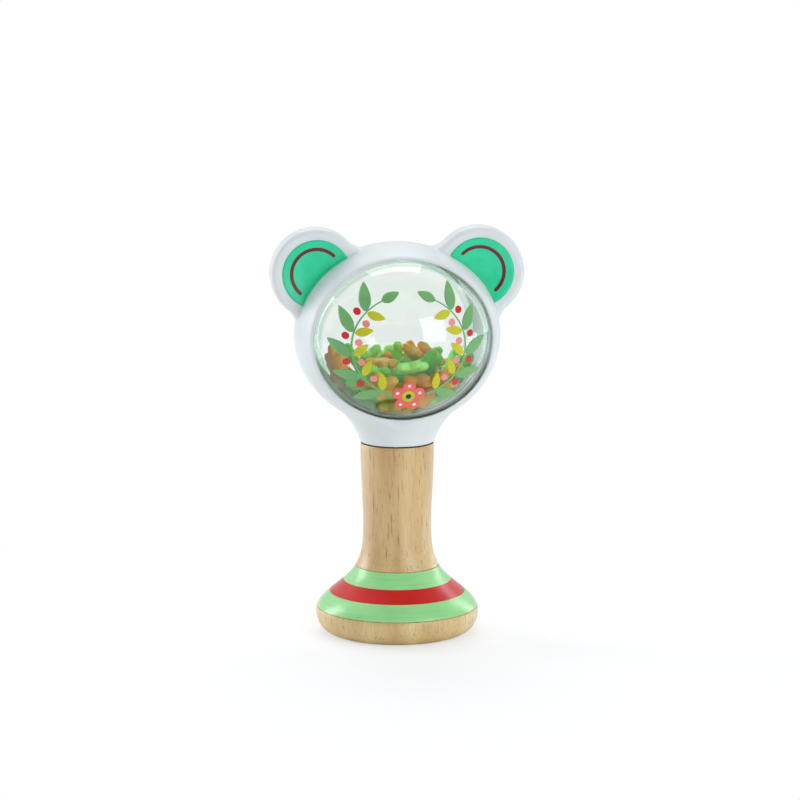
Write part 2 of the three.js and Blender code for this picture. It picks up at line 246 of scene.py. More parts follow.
def ear_plate(x, y, up, dished):
    out = np.hypot(np.abs(x) - EAR_OUT, up - EAR_UP)
    behind = oval(x, up, HEAD_WIDE - EAR_SINK, HEAD_HIGH - EAR_SINK)
    outline = joined(out - EAR_RADIUS, behind, EAR_FILLET)
    plate = shared(outline, np.abs(y) - EAR_DEEP, EAR_EDGE)
    if not dished:
        return plate
    bowl = np.hypot(out, y - (DISH_FLOOR - DISH_RADIUS)) - DISH_RADIUS
    return shared(plate, -bowl, DISH_ROUND)


# side is -1 for the front half and 1 for the rear half
def casing_field(side):
    def field(p):
        x, y, up = p[..., 0], p[..., 1], p[..., 2]
        radius = np.hypot(x, y)
        head = shared(turned_head(radius, up), NECK_LOW - up, EDGE_ROUND)
        head = shared(head, np.abs(y) - CASING_DEEP, LIP_ROUND)
        body = joined(head, ear_plate(x, y, up, side < 0), EAR_JOIN)
        hollow = oval(radius, up, HEAD_WIDE - CASING_WALL, HEAD_HIGH - CASING_WALL * HIGH_SHARE)
        shell = shared(body, -hollow, EDGE_ROUND)
        spigot = np.maximum(radius - SPIGOT_RADIUS, np.maximum(SPIGOT_LOW - up, up - SPIGOT_TOP))
        bore = np.maximum(radius - SPIGOT_BORE, up - SPIGOT_TOP)
        shell = np.maximum(np.minimum(shell, spigot), -bore)
        return shared(shell, SEAM - side * y, SEAM_ROUND)
    return field


# Points on the surfaces that carry print and paint, raised by a little

def on_dome(x, up, lift):
    wide, high = DOME_WIDE + lift, DOME_WIDE * HIGH_SHARE + lift
    y = -wide * np.sqrt(np.maximum(0, 1 - (x / wide) ** 2 - (up / high) ** 2))
    return np.stack([x, y, up + HEAD_Z], -1)


def on_ear(x, up, lift):
    out = np.hypot(np.abs(x) - EAR_OUT, up - EAR_UP)
    y = DISH_FLOOR - DISH_RADIUS + np.sqrt((DISH_RADIUS - lift) ** 2 - out ** 2)
    return np.stack([x, y, up + HEAD_Z], -1)


# How far a film's top and underside stand off its carrier, and how far each further layer is raised
FILM_TOP = 0.09
FILM_UNDER = 0.03
LAYER = 0.07


# A thin closed film over a grid of flat points: columns go round if it is closed
def film(grid, carrier, closed):
    rows, columns = grid.shape[:2]
    top = carrier(grid[..., 0], grid[..., 1], FILM_TOP).reshape(-1, 3)
    under = carrier(grid[..., 0], grid[..., 1], FILM_UNDER).reshape(-1, 3)
    faces = []
    below = rows * columns
    last = columns if closed else columns - 1
    for r in range(rows - 1):
        for c in range(last):
            d = (c + 1) % columns
            quad = [r * columns + c, r * columns + d, (r + 1) * columns + d, (r + 1) * columns + c]
            faces.append(quad)
            faces.append([below + q for q in quad[::-1]])
    edge = [(rows - 1) * columns + c for c in range(columns)]
    if not closed:
        edge += [r * columns + columns - 1 for r in range(rows - 2, -1, -1)]
        edge += [c for c in range(columns - 2, -1, -1)]
        edge += [r * columns for r in range(1, rows)]
    for a, b in zip(edge, edge[1:] + edge[:1] if closed else edge[1:]):
        faces.append([a, below + a, below + b, b])
    return np.concatenate([top, under]), faces


# A filled shape whose edge is a function of the angle
def blot(centre, reach, rings=10, columns=72):
    angle = np.arange(columns) * 2 * math.pi / columns
    edge = np.stack([np.cos(angle), np.sin(angle)], 1) * reach(angle)[:, None]
    share = np.linspace(0.02, 1, rings)[:, None, None]
    return np.array(centre) + share * edge[None]


# A brush stroke along a curve, with a width at each point
def stroke(points, widths):
    points = np.asarray(points, float)
    run = np.gradient(points, axis=0)
    run /= np.linalg.norm(run, axis=1)[:, None]
    across = np.stack([-run[:, 1], run[:, 0]], 1)
    steps = np.linspace(-1, 1, 7)[:, None, None]
    return points[None] + steps * (across * np.asarray(widths)[:, None])[None]


# Half the width of a stroke of even width with round ends
def round_ends(count, half_width, length):
    s = np.linspace(0, 1, count)
    near = np.minimum(s, 1 - s) * length / half_width
    ends = np.sqrt(np.clip(1 - (1 - np.minimum(near, 1)) ** 2, 0.0004, 1))
    return half_width * ends


def film_object(name, patches, carrier, material):
    points = []
    faces = []
    count = 0
    for grid, closed in patches:
        patch_points, patch_faces = film(grid, carrier, closed)
        points.append(patch_points)
        faces += [[i + count for i in face] for face in patch_faces]
        count += len(patch_points)
    obj = make_object(name, np.concatenate(points), faces, [material])
    tidy_normals(obj)
    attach(obj, "shell")


# Materials

class Shader:
    def __init__(self, name):
        self.material = bpy.data.materials.new(name)
        self.material.use_nodes = True
        self.nodes = self.material.node_tree.nodes
        self.links = self.material.node_tree.links
        self.main = self.nodes["Principled BSDF"]
        self.coordinates = self.nodes.new("ShaderNodeTexCoord")

    def set(self, **values):
        for key, value in values.items():
            self.main.inputs[key.replace("_", " ")].default_value = value
        return self

    def link(self, output, target):
        self.links.new(output, self.main.inputs[target])

    # Noise in millimetres: a size for each axis, and a lean to the side in degrees
    def noise(self, size, detail=3.0, roughness=0.5, distortion=0.0, lean=0.0):
        mapping = self.nodes.new("ShaderNodeMapping")
        mapping.vector_type = "TEXTURE"
        mapping.inputs["Scale"].default_value = [s * 0.001 for s in size]
        mapping.inputs["Rotation"].default_value = (0, math.radians(lean), 0)
        self.links.new(self.coordinates.outputs["Object"], mapping.inputs["Vector"])
        noise = self.nodes.new("ShaderNodeTexNoise")
        noise.inputs["Scale"].default_value = 1
        noise.inputs["Detail"].default_value = detail
        noise.inputs["Roughness"].default_value = roughness
        noise.inputs["Distortion"].default_value = distortion
        self.links.new(mapping.outputs["Vector"], noise.inputs["Vector"])
        return noise.outputs["Fac"]

    # A coordinate of the object in metres
    def along(self, axis):
        parts = self.nodes.new("ShaderNodeSeparateXYZ")
        self.links.new(self.coordinates.outputs["Object"], parts.inputs["Vector"])
        return parts.outputs[axis]

    def ramp(self, source, stops):
        ramp = self.nodes.new("ShaderNodeValToRGB")
        while len(ramp.color_ramp.elements) < len(stops):
            ramp.color_ramp.elements.new(0.5)
        for element, (place, colour) in zip(ramp.color_ramp.elements, stops):
            element.position = place
            element.color = (*colour, 1)
        self.links.new(source, ramp.inputs["Fac"])
        return ramp.outputs["Color"]

    # The share is a texture or a number
    def mix(self, a, b, share, blend="MIX"):
        mix = self.nodes.new("ShaderNodeMix")
        mix.data_type = "RGBA"
        mix.blend_type = blend
        if isinstance(share, float):
            mix.inputs["Factor"].default_value = share
        else:
            self.links.new(share, mix.inputs["Factor"])
        self.links.new(a, mix.inputs["A"])
        self.links.new(b, mix.inputs["B"])
        return mix.outputs["Result"]

    def grey(self, source, low, high, start=0.25, end=0.75):
        spread = self.nodes.new("ShaderNodeMapRange")
        spread.inputs["From Min"].default_value = start
        spread.inputs["From Max"].default_value = end
        spread.inputs["To Min"].default_value = low
        spread.inputs["To Max"].default_value = high
        self.links.new(source, spread.inputs["Value"])
        return spread.outputs["Result"]

    def bump(self, height, distance, strength=1.0):
        bump = self.nodes.new("ShaderNodeBump")
        bump.inputs["Distance"].default_value = distance * 0.001
        bump.inputs["Strength"].default_value = strength
        self.links.new(height, bump.inputs["Height"])
        self.link(bump.outputs["Normal"], "Normal")


def value_of(tree, operation, a, b=0.0):
    node = tree.nodes.new("ShaderNodeMath")
    node.operation = operation
    for socket, value in zip(node.inputs, (a, b)):
        if isinstance(value, float):
            socket.default_value = value
        else:
            tree.links.new(value, socket)
    return node.outputs["Value"]


def linear(red, green, blue):
    return tuple(((c / 255 + 0.055) / 1.055) ** 2.4 for c in (red, green, blue))


def shade(colour, factor):
    return tuple(c * factor for c in colour)


def white_plastic():
    s = Shader("pearl_white_plastic").set(Specular_IOR_Level=0.35)
    cloud = s.noise((9, 9, 9), 2)
    s.link(s.ramp(cloud, [(0.3, linear(224, 231, 233)), (0.7, linear(231, 237, 240))]), "Base Color")
    skin = s.noise((0.35, 0.35, 0.35), 4)
    s.link(s.grey(skin, 0.34, 0.44), "Roughness")
    s.bump(skin, 0.006)
    return s.material


# How far to each side of the lip the ball carries painted shade, a darker green band where it passes under
# the casing
RIM_SHADE_REACH = 1.5


# Clear plastic that lets the lamps through, tinted along the way, with painted shade in a darker green
# band at the lip
def clear_plastic():
    s = Shader("clear_plastic").set(Transmission_Weight=1.0, IOR=1.47)
    cloud = s.noise((14, 14, 14), 2)
    base = s.ramp(cloud, [(0.3, (0.975, 0.99, 0.98)), (0.7, (0.99, 0.998, 0.993))])
    depth = value_of(s.material.node_tree, "ABSOLUTE", s.along("Y"))
    near, far = CASING_DEEP - RIM_SHADE_REACH, CASING_DEEP + RIM_SHADE_REACH
    rim_shade_share = s.grey(depth, 0.0, 1.0, 0.001 * near, 0.001 * far)
    # Painted shade: darker green across the band where the ball passes under the lip
    painted_rim_shade = s.ramp(rim_shade_share, [(0.0, (1.0, 1.0, 1.0)), (0.5, (0.4, 0.63, 0.52)), (1.0, (1.0, 1.0, 1.0))])
    s.link(s.mix(base, painted_rim_shade, 1.0, "MULTIPLY"), "Base Color")
    scuff = s.noise((0.5, 6, 0.5), 5)
    s.link(s.grey(scuff, 0.0, 0.02), "Roughness")
    wave = s.noise((11, 11, 11), 1)
    s.bump(wave, 0.02)
    lit = s.nodes.new("ShaderNodeBsdfTransparent")
    lit.inputs["Color"].default_value = (0.98, 0.99, 0.985, 1)
    path = s.nodes.new("ShaderNodeLightPath")
    choice = s.nodes.new("ShaderNodeMixShader")
    s.links.new(path.outputs["Is Shadow Ray"], choice.inputs["Fac"])
    s.links.new(s.main.outputs["BSDF"], choice.inputs[1])
    s.links.new(lit.outputs["BSDF"], choice.inputs[2])
    tint = s.nodes.new("ShaderNodeVolumeAbsorption")
    tint.inputs["Color"].default_value = (0.45, 0.72, 0.62, 1)
    tint.inputs["Density"].default_value = 45
    s.links.new(choice.outputs["Shader"], s.nodes["Material Output"].inputs["Surface"])
    s.links.new(tint.outputs["Volume"], s.nodes["Material Output"].inputs["Volume"])
    return s.material


# Heights between which the wood goes from the pale foot to the browner grip
FOOT_PALE = 8
GRIP_BROWN = 30


# Pale wood with short brown streaks, a few of them reddish, and small pores along the grain
def wood():
    s = Shader("light_wood").set(Coat_Weight=1.0, Coat_Roughness=0.4, Coat_IOR=1.75)
    tone = s.noise((9, 14, 55), 3, 0.5, 0.4)
    base = s.ramp(tone, [
        (0.30, linear(212, 175, 109)),
        (0.50, linear(228, 198, 133)),
        (0.70, linear(241, 219, 162)),
    ])
    fibre = s.noise((0.4, 0.4, 14), 4, 0.6, 0.0, -2.5)
    fine = s.ramp(fibre, [(0.36, (0.86, 0.82, 0.75)), (0.56, (1.0, 1.0, 1.0))])
    strength = s.ramp(s.noise((20, 20, 20), 1), [(0.3, (0.55, 0.55, 0.55)), (0.7, (1.0, 1.0, 1.0))])
    base = s.mix(base, fine, strength, "MULTIPLY")
    streak = s.noise((0.6, 0.6, 11), 2, 0.5, 0.2, -2.5)
    streaks = s.ramp(streak, [(0.29, (0.8, 0.8, 0.8)), (0.38, (0, 0, 0))])
    brown = s.ramp(s.noise((5, 5, 16), 2), [(0.42, linear(150, 102, 56)), (0.66, linear(200, 126, 84))])
    base = s.mix(base, brown, streaks)
    height = s.grey(s.along("Z"), 0.0, 1.0, 0.001 * FOOT_PALE, 0.001 * GRIP_BROWN)
    browner = s.ramp(height, [(0.0, (1.0, 1.0, 1.0)), (1.0, (0.92, 0.86, 0.83))])
    base = s.mix(base, browner, 1.0, "MULTIPLY")
    pore = s.noise((0.3, 0.3, 2.6), 2, 0.5, 0.0, -2.5)
    pores = s.ramp(pore, [(0.27, (0.9, 0.9, 0.9)), (0.34, (0, 0, 0))])
    dark = s.ramp(s.noise((3, 3, 60), 2), [(0.3, linear(120, 74, 38)), (0.7, linear(152, 102, 58))])
    s.link(s.mix(base, dark, pores), "Base Color")
    s.link(s.grey(fibre, 0.4, 0.56), "Roughness")
    s.bump(pore, 0.05, 0.6)
    return s.material


# The brown line at the edge of the paint
def paint_edge():
    s = Shader("paint_edge").set(Specular_IOR_Level=0.3)
    cloud = s.noise((1.5, 1.5, 1.5), 3)
    s.link(s.ramp(cloud, [(0.35, linear(150, 108, 66)), (0.65, linear(196, 160, 106))]), "Base Color")
    s.link(s.grey(cloud, 0.45, 0.6), "Roughness")
    s.bump(cloud, 0.02)
    return s.material


# The cut end in the joint under the head: end grain painted dark as painted shade for the narrow gap there
def shaded_end_grain():
    s = Shader("shaded_end_grain").set(Specular_IOR_Level=0.2)
    rings = s.noise((1.2, 1.2, 1.2), 3)
    s.link(s.ramp(rings, [(0.3, linear(84, 74, 62)), (0.7, linear(112, 98, 80))]), "Base Color")
    s.link(s.grey(rings, 0.6, 0.75), "Roughness")
    s.bump(rings, 0.02)
    return s.material


# Paint laid on in the lathe, with fine lines around the axis
def wood_paint(name, colour):
    s = Shader(name).set(Specular_IOR_Level=0.1, Coat_Weight=1.0, Coat_Roughness=0.25, Coat_IOR=1.55)
    cloud = s.noise((9, 9, 4), 3)
    base = s.ramp(cloud, [(0.3, shade(colour, 0.93)), (0.7, shade(colour, 1.05))])
    line = s.noise((16, 16, 0.5), 4, 0.6)
    lines = s.ramp(line, [(0.35, (0.9, 0.9, 0.9)), (0.62, (1, 1, 1))])
    share = s.ramp(s.noise((6, 6, 6), 1), [(0.3, (0.4, 0.4, 0.4)), (0.7, (0.9, 0.9, 0.9))])
    s.link(s.mix(base, lines, share, "MULTIPLY"), "Base Color")
    s.link(s.grey(line, 0.26, 0.38), "Roughness")
    s.bump(line, 0.02, 0.5)
    return s.material


def ink(name, colour):
    s = Shader(name).set(Specular_IOR_Level=0.3, Coat_Weight=0.08, Coat_Roughness=0.08)
    cloud = s.noise((4, 4, 4), 3)
    s.link(s.ramp(cloud, [(0.3, shade(colour, 0.92)), (0.7, shade(colour, 1.06))]), "Base Color")
    grain = s.noise((0.25, 0.25, 0.25), 3)
    s.link(s.grey(grain, 0.25, 0.37), "Roughness")
    s.bump(grain, 0.008)
    return s.material


def bead_plastic(name, colour):
    s = Shader(name).set(Subsurface_Weight=0.5, Subsurface_Scale=0.0025)
    s.set(Subsurface_Radius=(1.0, 0.9, 0.5), Coat_Weight=0.05, Coat_Roughness=0.2, Specular_IOR_Level=0.25)
    cloud = s.noise((5, 5, 5), 3)
    s.link(s.ramp(cloud, [(0.3, shade(colour, 0.86)), (0.7, shade(colour, 1.1))]), "Base Color")
    grain = s.noise((0.3, 0.3, 0.3), 4)
    s.link(s.grey(grain, 0.32, 0.48), "Roughness")
    s.bump(grain, 0.012)
    return s.material


# Casing: two moulded halves, the front one with painted ears
PAINT_RADIUS = 11.7
PAINT_FRONT = -5.5
PAINT_BACK = -1.5

# Two corners of a box around the front half and the rear half
CASING_BOX = {
    -1: ((-44.2, -17.25, -56), (44.2, 0.4, 38)),
    1: ((-44.2, -0.3, -56), (44.2, 17, 38)),
}


# Faces well inside the paint, on the outside of the head
def painted(points, faces):
    x, y, up = points[np.array(faces)].mean(1).T
    out = np.hypot(np.abs(x) - EAR_OUT, up - EAR_UP)
    outside = np.sqrt((x ** 2 + y ** 2) / HEAD_WIDE ** 2 + (up / HEAD_HIGH) ** 2) > 0.985
    return outside & (out < PAINT_RADIUS - 0.6) & (y > PAINT_FRONT + 0.5) & (y < PAINT_BACK + 0.5)


white = white_plastic()
ear_green = ink("ear_green_paint", linear(54, 222, 170))
for side, name in ((-1, "front_casing"), (1, "rear_casing")):
    points, faces = surface(casing_field(side), *CASING_BOX[side], CASING_STEP)
    colours = [white, ear_green] if side < 0 else [white]
    slots = painted(points, faces).astype(int) if side < 0 else None
    half = make_object(name + "_shell", points + (0, 0, HEAD_Z), faces, colours, slots)
    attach(half, "shell")
    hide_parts(name)

# Ball: two clear halves with a lapped edge
LAP_GAP = 0.05
LAP_LONG = 0.5
DOME_STEPS = 56
clear = clear_plastic()
inner = DOME_WIDE - DOME_WALL
tongue = (DOME_WIDE + inner) / 2
quarter = math.pi / 2
for side, name in ((-1, "front_dome"), (1, "rear_dome")):
    outside = arc(DOME_WIDE, DOME_WIDE, quarter, math.asin(LAP_GAP / DOME_WIDE), DOME_STEPS)
    outside[0, 0] = 0
    if side < 0:
        lap = [(tongue + LAP_GAP, LAP_GAP), (tongue + LAP_GAP, LAP_LONG)]
        inside = arc(inner, inner, math.asin(LAP_LONG / inner), quarter, DOME_STEPS)
    else:
        lap = [(tongue, LAP_GAP), (tongue, LAP_GAP - LAP_LONG), (inner, LAP_GAP - LAP_LONG)]
        inside = arc(inner, inner, 0, quarter, DOME_STEPS)
    inside[-1, 0] = 0
    profile = np.concatenate([outside, lap, inside])
    points, faces, _ = turned(profile, 144)
    placed = np.stack([points[:, 0], side * points[:, 2], points[:, 1] * HIGH_SHARE + HEAD_Z], 1)
    dome = make_object(name + "_shell", placed, faces, [clear])
    tidy_normals(dome)
    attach(dome, "shell")
    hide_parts(name)

# Handle: turned wood with three painted rings on its foot, which is wider than the rest
FOOT_RADIUS = 27.9
GRIP_RADIUS = 11.65
HANDLE_TOP = 65.7
END_ROUND = 0.4
REST_RADIUS = 12.6
EDGE_BELOW = (NECK_RADIUS, HANDLE_TOP - END_ROUND)
SOCKET_RADIUS = 7.3
SOCKET_FLOOR = 47
SOCKET_END = 44.6
outline = np.concatenate([
    [(0, 0), (8, 0), (16, 0)],
    bezier((22, 0), (25.25, 0), (FOOT_RADIUS, 2.96), (FOOT_RADIUS, 7.4), 20),
    bezier((FOOT_RADIUS, 7.4), (FOOT_RADIUS, 12.5), (17.72, 16.48), (14.2, 23.1), 44)[1:],
    bezier((14.2, 23.1), (12.62, 26.08), (GRIP_RADIUS, 29), (GRIP_RADIUS, 37.5), 24)[1:],
    bezier((GRIP_RADIUS, 37.5), (GRIP_RADIUS, 46), (NECK_RADIUS, 53.7), EDGE_BELOW, 24)[1:],
    arc(END_ROUND, END_ROUND, 0, math.pi / 2, 3)[1:] + (NECK_RADIUS - END_ROUND, HANDLE_TOP - END_ROUND),
    [(SOCKET_RADIUS + END_ROUND, HANDLE_TOP), (SOCKET_RADIUS, HANDLE_TOP - END_ROUND)],
    [(SOCKET_RADIUS, SOCKET_FLOOR), (0, SOCKET_END)],
])

# Heights of the edges of the rings, with a thin line outside the lowest and the highest
RINGS = [9.0, 13.95, 18.0, 22.85]
RING_LINE = 0.28
CUTS = [RINGS[0] - RING_LINE, *RINGS, RINGS[3] + RING_LINE]
knots = []
for a, b in zip(outline, outline[1:]):
    knots.append(a)
    rising = b[1] > a[1] and a[0] > REST_RADIUS
    knots += [a + (b - a) * (z - a[1]) / (b[1] - a[1]) for z in CUTS if rising and a[1] < z < b[1]]
knots.append(outline[-1])
points, faces, bands = turned(knots, 128)
middles = [(knots[b][1] + knots[b + 1][1]) / 2 if knots[b][0] > REST_RADIUS else 0 for b in bands]
WOOD, MINT, RED, END_IN_SHADE, LINE = range(5)
slots = []
for band, z in zip(bands, middles):
    if RINGS[0] < z < RINGS[1] or RINGS[2] < z < RINGS[3]:
        slots.append(MINT)
    elif RINGS[1] < z < RINGS[2]:
        slots.append(RED)
    # The handle's top face, inside the joint, gets the end grain with painted shade
    elif knots[band + 1][1] > HANDLE_TOP - 0.1:
        slots.append(END_IN_SHADE)
    elif CUTS[0] < z < CUTS[5]:
        slots.append(LINE)
    else:
        slots.append(WOOD)
mint = wood_paint("mint_paint", linear(160, 234, 156))
red = wood_paint("red_paint", linear(214, 14, 10))
handle = make_object("handle_turned", points, faces, [wood(), mint, red, shaded_end_grain(), paint_edge()], slots)
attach(handle, "shell")
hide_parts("handle")

# Star beads, one for each bead of the frame and in its place
STAR_HALF = 1.45
STAR_POINT = 6.0
STAR_TIP_HALF = 1.1
STAR_NOTCH = 3.6
STAR_SOFT = 0.085
STAR_SIDES = 80
TIP_NEAR = 2.6


# How far the star reaches at an angle, with its corners softened
def star_edge(angle):
    fifth = math.pi / 5
    notch = [STAR_NOTCH * math.cos(fifth), STAR_NOTCH * math.sin(fifth)]
    corner = np.array([[STAR_POINT, -STAR_TIP_HALF], [STAR_POINT, STAR_TIP_HALF], notch])
    reach = np.hypot(corner[:, 0], corner[:, 1])
    at = np.arctan2(corner[:, 1], corner[:, 0])
    knots_at = np.concatenate([at + k * 2 * fifth for k in range(-2, 8)])
    knots_in = np.tile(1 / reach, 10)
    turn = np.linspace(-0.16, 0.16, 17)
    weight = np.exp(-(turn / STAR_SOFT) ** 2)
    spread = 1 / np.interp(np.mod(angle[:, None] + turn[None], 2 * math.pi), knots_at, knots_in)
    return (spread * weight).sum(1) / weight.sum()


def star_mesh():
    edge = star_edge(np.arange(STAR_SIDES) * 2 * math.pi / STAR_SIDES)
    shares = [0.0, 0.25, 0.5, 0.68, 0.8, 0.88, 0.94, 0.98, 1.0]
    rise = [STAR_HALF * (1 - t ** 10) ** 0.5 * (1 - 0.06 * t) for t in shares]
    upper = list(zip(shares, rise))
    lower = [(t, -z) for t, z in upper[-2::-1]]
    points, faces, _ = turned(upper + lower, STAR_SIDES)
    reach = np.hypot(points[:, 0], points[:, 1])
    turn = np.arctan2(points[:, 1], points[:, 0]) / (2 * math.pi)
    column = np.mod(np.round(turn * STAR_SIDES), STAR_SIDES).astype(int)
    stretch = np.where(reach > 0, edge[column], 1)
    points[:, 0] *= stretch
    points[:, 1] *= stretch
    return points, [face[::-1] for face in faces]


# The middle of a bead, the way its flat side looks and the way to one of its points
def bead_place(node):
    corners = np.array([v.co for v in frame["nodes"][node].data.vertices])
    middle = corners.mean(0)
    flat = np.linalg.svd(corners - middle)[2][2]
    reach = np.linalg.norm(corners - middle, axis=1)
    tip = corners[reach.argmax()]
    close = corners[np.linalg.norm(corners - tip, axis=1) < 0.001 * TIP_NEAR]
    ahead = close.mean(0) - middle
    ahead -= flat * ahead.dot(flat)
    ahead /= np.linalg.norm(ahead)
    sideways = np.cross(flat, ahead)
    place = np.eye(4)
    place[:3, 0], place[:3, 1], place[:3, 2], place[:3, 3] = ahead, sideways, flat, middle
    return Matrix(place.tolist())


greens = [linear(134, 238, 98), linear(102, 224, 86), linear(168, 246, 122)]
oranges = [linear(255, 194, 42), linear(255, 174, 28), linear(255, 210, 104)]
star_points, star_faces = star_mesh()
star_tints = {}
for slot, tints in (("green_bead", greens), ("orange_bead", oranges)):
    for n, tint in enumerate(tints):
        star_tints[slot, n] = bead_plastic(f"{slot}_{n + 1}", tint)
bead_slots = {}
for part in frame["record"]["subparts"]:
    bead_slots[part["node"]] = part["material_slot"]

# The tints follow each other in no plain order
beads = sorted(node for node in frame["nodes"] if "_bead_" in node)
for n, node in enumerate(beads):
    slot = bead_slots[node]
    star = make_object("star_" + node, star_points, star_faces, [star_tints[slot, (n * 5 + n // 7) % 3]])
    star.matrix_world = bead_place(node)
    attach(star, node.split("_")[0] + "_beads")
    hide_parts(node)

# Ear paint: green bowl with a dark red arc, run up to a line on the flank of the head
ARC_RADIUS = 8.45
ARC_STARTS = 43
ARC_ENDS = 233
ARC_HALF = 0.58
ARC_LONG = 29
BOWL_UNDER = 0.9


def on_flank(angle, depth, lift):
    radius = np.sqrt(HEAD_WIDE ** 2 - depth ** 2) + lift
    return np.stack([radius * np.cos(angle), depth, HEAD_Z + radius * HIGH_SHARE * np.sin(angle)], -1)


def on_ear_high(x, up, lift):
    return on_ear(x, up, lift + LAYER)


# Where the head meets a ray from the middle of the ear, or the edge of the paint
def bowl_edge(centre):
    def reach(angle):
        run = np.stack([np.cos(angle), np.sin(angle)], 1)
        steps = np.linspace(0.2, PAINT_RADIUS, 400)
        spots = centre + run[:, None] * steps[None, :, None]
        half_head = (HEAD_WIDE - BOWL_UNDER, HEAD_HIGH - BOWL_UNDER)
        in_head = np.hypot(spots[..., 0] / half_head[0], spots[..., 1] / half_head[1]) < 1
        return np.where(in_head.any(1), steps[in_head.argmax(1)], PAINT_RADIUS)
    return reach


# Rows of angle and depth on the flank, as wide as the paint's circle
def flank_patch(centre):
    rows = []
    angles = np.linspace(0, math.pi, 1440)
    for depth in np.linspace(PAINT_BACK, PAINT_FRONT, 20):
        spots = on_flank(angles, np.full_like(angles, depth), 0.0)
        out = np.hypot(spots[:, 0] - centre[0], spots[:, 2] - HEAD_Z - centre[1])
        inside = angles[out < PAINT_RADIUS]
        run = np.linspace(inside[0], inside[-1], 60)
        rows.append(np.stack([run, np.full(60, depth)], 1))
    return np.array(rows)


ear_red = ink("ear_red_paint", linear(122, 40, 48))
bowls = []
flanks = []
arcs = []
for side in (-1, 1):
    centre = np.array([side * EAR_OUT, EAR_UP])
    bowls.append((blot(centre, bowl_edge(centre), 14, 180), True))
    flanks.append((flank_patch(centre), False))
    angle = np.radians(np.linspace(ARC_STARTS, ARC_ENDS, 60))
    curve = centre + ARC_RADIUS * np.stack([-side * np.cos(angle), np.sin(angle)], 1)
    arcs.append((stroke(curve, round_ends(60, ARC_HALF, ARC_LONG)), False))
film_object("ear_bowl_paint", bowls, on_ear, ear_green)
film_object("ear_flank_paint", flanks, on_flank, ear_green)
film_object("ear_arc_paint", arcs, on_ear_high, ear_red)

# Print on the ball: two leafy sprigs with berries, which rise from a flower
SPRIG_RADIUS = 19.0
SPRIG_STARTS = -73
SPRIG_ENDS = 62
STEM_HALF = 0.45
LEAF_STEP = 26
LEAF_PAIRS = 5
FIRST_LEAF = SPRIG_STARTS + 11
BERRY_RADIUS = 1.2
BERRY_OUT = 2.2
BERRY_ON = {1: 0.8 * LEAF_STEP, -1: 0.62 * LEAF_STEP}
FLOWER_UP = -17.0
FLOWER_WAIST = 3.2
PETALS = 5
PETAL_LONG = 2.4
DOTS_OUT = 3.9
DOT_RADIUS = 0.55
HEART_RADIUS = 2.1
HEART_DOT = 0.9

yellow_green = ink("print_yellow_green", linear(206, 206, 48))
dark = ink("print_dark", linear(44, 60, 76))
pale = ink("print_white", linear(240, 244, 244))
rose = ink("print_pink", linear(245, 150, 145))
scarlet = ink("print_red", linear(218, 52, 58))
coral = ink("print_coral", linear(240, 112, 104))
leaf = ink("print_leaf_green", linear(120, 182, 116))


def disc(x, up, radius):
    return (blot((x, up), lambda angle: np.full_like(angle, radius)), True)


def raised(layers):
    def carrier(x, up, lift):
        return on_dome(x, up, lift + layers * LAYER)
    return carrier


# A point of a sprig, the way that the sprig runs there, and the way out from the middle of the ball
def sprig_spot(side, angle):
    a = math.radians(angle)
    spot = SPRIG_RADIUS * np.array([math.cos(a), HIGH_SHARE * math.sin(a)])
    run = np.array([-math.sin(a), HIGH_SHARE * math.cos(a)])
    run /= np.linalg.norm(run)
    outward = np.array([run[1], -run[0]])
    mirror = np.array([side, 1])
    return spot * mirror, run * mirror, outward * mirror


def leaf_patch(start, heading, length, half_width):
    along = np.linspace(0, 1, 24)
    curve = start + heading * length * along[:, None]
    return (stroke(curve, 0.05 + half_width * np.sin(math.pi * along ** 0.8) ** 0.8), False)


def flower_edge(angle):
    return FLOWER_WAIST + PETAL_LONG * np.abs(np.cos(PETALS / 2 * (angle - math.pi / 2))) ** 0.6


# Length, half width and turn of the leaves on the outer and the inner side of a sprig
LEAF_FORM = {1: (9.0, 1.9, math.radians(42)), -1: (6.0, 1.4, math.radians(60))}
TIP_LEAF = (6.5, 1.5)
stems = []
leaves = {1: [], -1: []}
berries = {1: [], -1: []}
for side in (-1, 1):
    stem = [sprig_spot(side, angle)[0] for angle in np.linspace(SPRIG_STARTS, SPRIG_ENDS + 1, 60)]
    stems.append((stroke(stem, np.linspace(STEM_HALF, 0.2, 60)), False))
    for n in range(LEAF_PAIRS):
        angle = FIRST_LEAF + LEAF_STEP * n
        for way, (length, half_width, turn) in LEAF_FORM.items():
            spot, run, outward = sprig_spot(side, angle)
            heading = run * math.cos(turn) + way * outward * math.sin(turn)
            leaves[way].append(leaf_patch(spot + way * STEM_HALF * outward, heading, length, half_width))
            if n < LEAF_PAIRS - 1:
                spot, _, outward = sprig_spot(side, angle + BERRY_ON[way])
                berries[way].append(disc(*(spot + way * BERRY_OUT * outward), BERRY_RADIUS))
    tip, run, _ = sprig_spot(side, SPRIG_ENDS)
    leaves[1].append(leaf_patch(tip, run, *TIP_LEAF))
petal_turns = [math.pi / 2 + n * 2 * math.pi / PETALS for n in range(PETALS)]
petal_dots = []
for turn in petal_turns:
    petal_dots.append(disc(DOTS_OUT * math.cos(turn), FLOWER_UP + DOTS_OUT * math.sin(turn), DOT_RADIUS))
film_object("print_outer_leaf", leaves[1], on_dome, leaf)
film_object("print_inner_leaf", leaves[-1], on_dome, yellow_green)
film_object("print_outer_berry", berries[1], on_dome, scarlet)
film_object("print_inner_berry", berries[-1], on_dome, rose)
film_object("print_stem", stems, raised(1), leaf)
film_object("print_petals", [(blot((0, FLOWER_UP), flower_edge, 10, 120), True)], on_dome, coral)
film_object("print_petal_dot", petal_dots, raised(1), pale)
